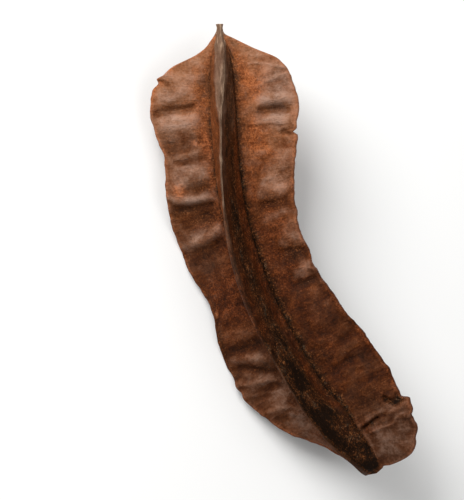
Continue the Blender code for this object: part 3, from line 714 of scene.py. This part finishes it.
    def keel_masks(self, place, share, side, groove, from_edge, length):
        """How rusty, ashen, dark and pale a keel's flank is."""
        places, widths, strengths = zip(*KEEL_EDGE)
        worn = ease(1.7 - from_edge / (MM * np.interp(place, places, widths)))
        worn = worn * np.interp(place, places, strengths)
        if side > 0:
            worn = worn * (1 - 0.6 * rise(place, 0.04, 0.05))
        else:
            line = bell(from_edge, EDGE_LINE_HALF_WIDTH) * between(place, *EDGE_LINE_SPAN)
            worn = np.maximum(worn, EDGE_LINE_STRENGTH * line)
        start = FLANK_START * rise(place, 0.15, 0.25) * (1 - 1.5 * rise(place, 0.8, 0.12))
        flank = rise(share, start, FLANK_BLEND) * rise(place, 0.025, 0.03)
        near_edge = rise(share, *NEAR_EDGE)
        blotch = noise(length / FLANK_BLOTCH[0], from_edge / FLANK_BLOTCH[1], BLOTCH_SEED + side)
        darkness = level(place, FLANK_DARKNESS[side])
        darkness = darkness * (1 - NEAR_EDGE_LIGHTER * near_edge * between(place, *NEAR_EDGE_SPAN))
        darkness = darkness * (1 + BLOTCH_STRENGTH * blotch)
        if side < 0:
            strength, middle, half_width = DARK_BAND
            band = bell(share - middle, half_width) * between(place, *DARK_BAND_SPAN)
            darkness = darkness + strength * band
        rust = (0.9 - 0.5 * rise(place, 0.6, 0.15)) * (1 - darkness * flank)
        rust = rust * between(place, *KEEL_RUST_SPAN)
        return {
            "rust": rust * (1 - KEEL_RUST_LOSS[side] * between(place, *KEEL_RUST_LOSS_SPAN)),
            "ash_and_sheen": KEEL_ASH[side] * near_edge * between(place, *KEEL_ASH_SPAN[side]),
            "dark": np.maximum(darkness * flank * (1 - worn), groove),
            "pale": np.maximum(worn, FLANK_PALE[side] * flank * between(place, *FLANK_PALE_SPAN)),
        }

    def around(self, core, place, detail):
        """The wing's points and masks from the valley before it to just short of the valley after it."""
        steps = KEEL_STEPS if self.is_keel else WING_STEPS
        share = crowded_ends(steps, EDGE_CROWDING)[None, :]
        before, before_masks = self.face(core, place, share, -1, detail)
        after, after_masks = self.face(core, place, share[:, :0:-1], 1, detail)
        first, last = before[:, -1:], after[:, :1]
        turn = np.linspace(-0.5, 0.5, RIM_STEPS + 2)[None, 1:-1, None] * math.pi
        edge = along(STATIONS[self.quarter], place[:, 0])[3][:, None, None]
        outwards = (math.cos(self.angle) * core.to_right + math.sin(self.angle) * core.to_upper)[:, None, :]
        rim = (first + last) / 2 + np.sin(turn) * (last - first) / 2
        rim = rim + EDGE_ROUNDING * edge * np.cos(turn) * outwards
        masks = {}
        for kind in MASKS + GRAIN:
            one, other = before_masks[kind], after_masks[kind]
            between_them = one[:, -1:] + (other[:, :1] - one[:, -1:]) * (turn[..., 0] / math.pi + 0.5)
            masks[kind] = np.concatenate([one, between_them, other], axis=1)
        return np.concatenate([before, rim, after], axis=1), masks


def pod_surface(rings, detail):
    """The pod's points in its own frame, one row for each ring, and the skin's masks."""
    place = crowded_ends(rings, END_CROWDING)[:, None]
    core = Core(place[:, 0])
    none, bare = {-1: (), 1: ()}, {-1: NO_PATCHES, 1: NO_PATCHES}
    keel_folds = {side: folds_by_rule(10 + side, KEEL_FOLD_HEIGHT) for side in (-1, 1)}
    wings = [Wing(UPPER, keel_folds, none, bare), Wing(LOWER, keel_folds, none, bare)]
    for quarter, seen, seed, folds, creases, patches in (
        (RIGHT, 1, 3, RIGHT_FOLDS, RIGHT_CREASES, RIGHT_PATCHES),
        (LEFT, -1, 4, LEFT_FOLDS, LEFT_CREASES, LEFT_PATCHES),
    ):
        all_folds = {seen: folds, -seen: folds_by_rule(seed, WING_FOLD_HEIGHT)}
        all_creases = {seen: creases, -seen: creases_by_rule(10 * seed + 1, HIDDEN_CREASES)}
        wings.append(Wing(quarter, all_folds, all_creases, {seen: patches, -seen: NO_PATCHES}))
    wings.sort(key=lambda wing: wing.quarter)
    parts = [wing.around(core, place, detail) for wing in wings]
    points = np.concatenate([part[0] for part in parts], axis=1)
    masks = {kind: np.concatenate([part[1][kind] for part in parts], axis=1) for kind in MASKS + GRAIN}
    return points, masks


def rest_turn():
    """The turn from the pod's own frame to the way it lies."""
    return Matrix.Rotation(REST_PITCH, 3, "Y") @ Matrix.Rotation(REST_ROLL, 3, "X")


def rest_shift():
    """The shift that brings the plain shape, once turned, to where the solid lies."""
    points = pod_surface(RINGS // 2, detail=False)[0] @ np.array(rest_turn()).T
    low, high = points.min(axis=(0, 1)), points.max(axis=(0, 1))
    solid_low, solid_high = (np.array(corner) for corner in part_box("pod"))
    shift = (solid_low + solid_high) / 2 - (low + high) / 2
    shift[2] = solid_low[2] - low[2] - PRESSED_DEPTH
    return shift


def closed_mesh(name, points, masks):
    """A closed mesh skinned over rings of points, with a fan over each end ring and a dome at the tip."""
    rings, columns = points.shape[:2]
    stalk_end, tip_end = points[0].mean(axis=0), points[-1].mean(axis=0)
    tip_end = tip_end + TIP_DOME * (tip_end - points[TIP_DOME_RING].mean(axis=0))
    corners = [*map(tuple, points.reshape(-1, 3)), tuple(stalk_end), tuple(tip_end)]
    last, pole = (rings - 1) * columns, rings * columns
    sides = [(column, (column + 1) % columns) for column in range(columns)]
    rows = range(0, last, columns)
    faces = [(row + a, row + b, row + columns + b, row + columns + a) for row in rows for a, b in sides]
    for a, b in sides:
        faces += [(pole, b, a), (pole + 1, last + a, last + b)]
    mesh = bpy.data.meshes.new(name)
    mesh.from_pydata(corners, [], faces)
    mesh.validate()
    for kind, mask in masks.items():
        layer = mesh.attributes.new(kind, "FLOAT", "POINT")
        values = np.append(mask.ravel(), [mask[0].mean(), mask[-1].mean()]).astype(np.float32)
        layer.data.foreach_set("value", values)
    mesh.shade_smooth()
    return mesh


# The skin's colours, each from its darkest to its palest: (tone, red, green, blue), in 0 to 255 steps.
SKIN_TONES = (
    (0, 36, 16, 6), (0.2, 60, 27, 9), (0.4, 86, 44, 17), (0.6, 112, 66, 38), (0.8, 136, 90, 61),
    (1, 160, 114, 87),
)
RUST_TONES = ((0.0, 44, 19, 7), (0.3, 79, 36, 13), (0.6, 122, 63, 30), (1.0, 174, 101, 56))
ASH_AND_SHEEN_TONES = ((0.0, 44, 26, 16), (0.35, 80, 53, 38), (0.65, 122, 92, 76), (1.0, 166, 132, 114))
DARK_TONES = ((0.0, 24, 13, 6), (0.35, 45, 25, 11), (0.7, 82, 46, 22), (1.0, 128, 80, 46))
PALE_TONES = ((0.0, 74, 55, 41), (0.35, 98, 77, 61), (0.7, 126, 101, 82), (1.0, 170, 142, 117))

SCRATCH_COLOUR = (122, 106, 86)
FLECK_COLOUR = (134, 92, 64)


def linear(*steps):
    """A colour in 0 to 255 steps as the shaders take it."""
    shares = [step / 255.0 for step in steps]
    return tuple(s / 12.92 if s <= 0.04045 else ((s + 0.055) / 1.055) ** 2.4 for s in shares) + (1.0,)


class Shading:
    """A material's node tree, with a short way to add each kind of node that it needs."""

    def __init__(self, name):
        self.material = bpy.data.materials.new(name)
        self.material.use_nodes = True
        self.tree = self.material.node_tree
        self.shader = self.tree.nodes["Principled BSDF"]

    def add(self, kind, inputs, **settings):
        """A node with its settings, and its inputs linked or set."""
        made = self.tree.nodes.new("ShaderNode" + kind)
        for name, setting in settings.items():
            setattr(made, name, setting)
        for socket, value in inputs.items():
            if isinstance(value, bpy.types.NodeSocket):
                self.tree.links.new(value, made.inputs[socket])
            else:
                made.inputs[socket].default_value = value
        return made

    def attribute(self, name):
        return self.add("Attribute", {}, attribute_name=name).outputs["Fac"]

    def math(self, operation, first, second=0.0, clamp=False):
        inputs = {0: first, 1: second}
        return self.add("Math", inputs, operation=operation, use_clamp=clamp).outputs[0]

    def total(self, first, *others, clamp=False):
        """The values added up in turn, and only the last sum clamped."""
        for other in others[:-1]:
            first = self.math("ADD", first, other)
        return self.math("ADD", first, others[-1], clamp)

    def times(self, first, second, clamp=False):
        return self.math("MULTIPLY", first, second, clamp)

    def noise(self, where, size, detail, roughness, distortion=0.0):
        """Noise from 0 to 1 with blotches of about the given size in metres."""
        inputs = {"Vector": where, "Scale": 1.0 / size, "Detail": detail, "Roughness": roughness}
        inputs["Distortion"] = distortion
        return self.add("TexNoise", inputs).outputs["Fac"]

    def cells(self, where, size):
        """Cells of about the given size: the distance to the nearest middle, and a number for each cell."""
        made = self.add("TexVoronoi", {"Vector": where, "Scale": 1.0 / size}, feature="F1")
        picked = self.add("SeparateColor", {"Color": made.outputs["Color"]})
        return made.outputs["Distance"], picked.outputs["Red"]

    def remap(self, value, low, high, to_low=0.0, to_high=1.0):
        inputs = {"Value": value, "From Min": low, "From Max": high, "To Min": to_low, "To Max": to_high}
        return self.add("MapRange", inputs).outputs["Result"]

    def line(self, value, level, half_width):
        """1 where the value crosses a level, fading to 0 over the half width on each side."""
        off = self.math("ABSOLUTE", self.math("SUBTRACT", value, level))
        return self.remap(off, half_width, 0.0)

    def ramp(self, value, tones):
        made = self.add("ValToRGB", {"Fac": value})
        stops = made.color_ramp.elements
        while len(stops) < len(tones):
            stops.new(0.5)
        for stop, (place, *steps) in zip(stops, tones):
            stop.position = place
            stop.color = linear(*steps)
        return made.outputs["Color"]

    def mix(self, share, first, second):
        inputs = {0: share, 6: first, 7: second}
        return self.add("Mix", inputs, data_type="RGBA").outputs[2]

    def bump(self, height, distance, below):
        """A bump of the given distance in metres, laid over another one."""
        inputs = {"Height": height, "Distance": distance}
        if below is not None:
            inputs["Normal"] = below
        return self.add("Bump", inputs).outputs["Normal"]


def skin_material():
    """The pod's dried skin, coloured by its masks and by noise of several sizes."""
    skin = Shading("pod_skin")
    remap, times, total = skin.remap, skin.times, skin.total
    where = skin.add("TexCoord", {}).outputs["Object"]
    along_grain, across_grain = (skin.attribute(name) for name in GRAIN)
    stretched = skin.add("CombineXYZ", {"X": along_grain, "Y": across_grain}).outputs[0]
    tone, rust, ash_and_sheen, dark, pale = (skin.attribute(name) for name in MASKS)
    mottle = skin.noise(where, 0.0045, 5.0, 0.62, distortion=0.4)
    grain = skin.noise(where, 0.0009, 4.0, 0.7)
    tint = skin.noise(where, 0.0026, 4.0, 0.7, distortion=0.8)
    bloom = skin.noise(where, 0.011, 3.0, 0.6, distortion=0.6)
    crumb = skin.noise(where, 0.0005, 2.0, 0.6)
    fibre = skin.noise(stretched, 0.001, 4.0, 0.6)
    wrinkle = skin.noise(stretched, 0.003, 2.0, 0.6, distortion=0.6)
    crumb_pick = skin.cells(where, 0.0005)[1]
    fleck_distance, fleck_pick = skin.cells(where, 0.0011)

    hairline = skin.line(wrinkle, 0.5, 0.022)
    blotched = total(tone, remap(mottle, 0.2, 0.8, -0.24, 0.24), remap(grain, 0.25, 0.75, -0.16, 0.16),
                     remap(fibre, 0.25, 0.75, -0.08, 0.08), times(hairline, 0.07))
    colour = skin.ramp(blotched, SKIN_TONES)

    rusty = total(times(rust, remap(mottle, 0.3, 0.6, 0.45, 1.15)), remap(bloom, 0.5, 0.68, 0.0, 0.4),
                  remap(tint, 0.52, 0.75, 0.0, 0.55), clamp=True)
    crumbs = total(blotched, remap(crumb, 0.32, 0.68, -0.16, 0.14),
                   remap(crumb_pick, 0.0, 1.0, -0.16, 0.14))
    colour = skin.mix(rusty, colour, skin.ramp(crumbs, RUST_TONES))
    # Ash: greyer skin, with painted sheen on the crests and in the ash patches.
    ash_and_sheen_cover = total(times(ash_and_sheen, remap(mottle, 0.3, 0.62, 0.4, 1.1)), remap(tint, 0.46, 0.26, 0.0, 0.35),
                  remap(bloom, 0.46, 0.34, 0.0, 0.3), clamp=True)
    colour = skin.mix(ash_and_sheen_cover, colour, skin.ramp(blotched, ASH_AND_SHEEN_TONES))
    worn = times(pale, remap(fibre, 0.28, 0.58, 0.75, 1.05), clamp=True)
    streaks = total(remap(fibre, 0.32, 0.72), remap(pale, 0.75, 1.05, 0.0, 0.5))
    colour = skin.mix(worn, colour, skin.ramp(streaks, PALE_TONES))
    # Dark: dark skin and stains, with painted shade in the grooves, in cracks and in the fold valleys.
    deep = times(dark, remap(mottle, 0.25, 0.6, 0.7, 1.05), clamp=True)
    speckle = total(remap(crumb, 0.38, 0.7, 0.0, 0.75), remap(tint, 0.3, 0.7, -0.3, 0.3),
                    remap(fibre, 0.3, 0.7, -0.22, 0.26), remap(crumb_pick, 0.55, 1.0, -0.05, 0.4),
                    remap(dark, 1.0, 1.4, 0.0, -0.6))
    colour = skin.mix(deep, colour, skin.ramp(speckle, DARK_TONES))

    scratch = times(skin.line(tint, 0.5, 0.03), remap(mottle, 0.52, 0.62))
    scratch = times(times(scratch, remap(dark, 0.5, 0.9, 0.0, 0.45)), remap(dark, 1.15, 1.0))
    colour = skin.mix(scratch, colour, linear(*SCRATCH_COLOUR))
    picked = skin.math("LESS_THAN", fleck_pick, remap(dark, 0.0, 1.0, 0.015, 0.07))
    fleck = times(times(picked, remap(fleck_distance, 0.26, 0.14)), 0.5)
    colour = skin.mix(fleck, colour, linear(*FLECK_COLOUR))
    rough = total(remap(grain, 0.25, 0.75, 0.38, 0.54), times(dark, 0.12))

    normal = None
    for height, distance in ((mottle, 0.0004), (fibre, 0.00028), (grain, 0.00042), (hairline, 0.0001)):
        normal = skin.bump(height, distance, normal)
    for socket, value in (("Base Color", colour), ("Roughness", rough), ("Normal", normal)):
        skin.tree.links.new(value, skin.shader.inputs[socket])
    skin.shader.inputs["Specular IOR Level"].default_value = 0.05
    return skin.material


# The view: straight down on the upper keel, turned in the frame, with this much of the pod's plane in
# its height.
VIEW_TURN = math.radians(18.3)
VIEW_MIDDLE = (0.0826, -0.0223)
VIEW_HEIGHT = 0.189
VIEW_DISTANCE = 1.5
SENSOR = 36.0

# Lights: (name, direction in the frame: right, up, towards the camera; distance, size, power).
LIGHTS = (
    ("key_light", (-0.5, 0.85, 0.95), 0.9, 0.6, 10.0),
    ("fill_light", (0.8, -0.3, 1.2), 1.0, 0.9, 3.0),
)
ROOM_LIGHT = 0.3
WHITE = (1.0, 1.0, 1.0, 1.0)

FLOOR_SIZE = 6.0
FLOOR_COLOUR = (0.9, 0.9, 0.89, 1.0)
FLOOR_ROUGHNESS = 0.9


def look_from(position, right, up):
    """A matrix for a camera or light at a position, with its own right and up directions."""
    back = right.cross(up)
    turned = Matrix((right, up, back)).transposed().to_4x4()
    turned.translation = position
    return turned


def main():
    scene = bpy.context.scene
    points, masks = pod_surface(RINGS, detail=True)
    turn = rest_turn()
    shift = rest_shift()
    laid = points @ np.array(turn).T + shift
    laid[..., 2] = np.maximum(laid[..., 2], 0.0)
    mesh = closed_mesh("dried_pod", laid, masks)
    pod = bpy.data.objects.new("dried_pod", mesh)
    scene.collection.objects.link(pod)
    pod.data.materials.append(skin_material())
    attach(pod, "root")
    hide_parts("pod")

    bpy.ops.mesh.primitive_plane_add(size=FLOOR_SIZE, location=(0.0, 0.0, 0.0))
    floor = bpy.context.object
    floor.name = "floor"
    paper = Shading("pale_floor")
    paper.shader.inputs["Base Color"].default_value = FLOOR_COLOUR
    paper.shader.inputs["Roughness"].default_value = FLOOR_ROUGHNESS
    floor.data.materials.append(paper.material)

    right = turn @ Vector((math.sin(VIEW_TURN), math.cos(VIEW_TURN), 0.0))
    up = turn @ Vector((-math.cos(VIEW_TURN), math.sin(VIEW_TURN), 0.0))
    back = right.cross(up)
    middle = turn @ Vector((*VIEW_MIDDLE, 0.0)) + Vector(shift)
    camera = bpy.data.objects.new("camera", bpy.data.cameras.new("camera"))
    camera.data.sensor_width = SENSOR
    camera.data.lens = SENSOR * VIEW_DISTANCE / VIEW_HEIGHT
    camera.matrix_world = look_from(middle + VIEW_DISTANCE * back, right, up)
    scene.collection.objects.link(camera)
    scene.camera = camera

    for name, (rightwards, upwards, backwards), distance, size, power in LIGHTS:
        lamp = bpy.data.lights.new(name, "AREA")
        lamp.size = size
        lamp.energy = power
        towards = (rightwards * right + upwards * up + backwards * back).normalized()
        light = bpy.data.objects.new(name, lamp)
        across = towards.orthogonal().normalized()
        light.matrix_world = look_from(middle + distance * towards, across, towards.cross(across))
        scene.collection.objects.link(light)

    world = bpy.data.worlds.new("room")
    world.use_nodes = True
    background = world.node_tree.nodes["Background"]
    background.inputs["Color"].default_value = WHITE
    background.inputs["Strength"].default_value = ROOM_LIGHT
    scene.world = world
    scene.view_settings.view_transform = "Standard"


main()
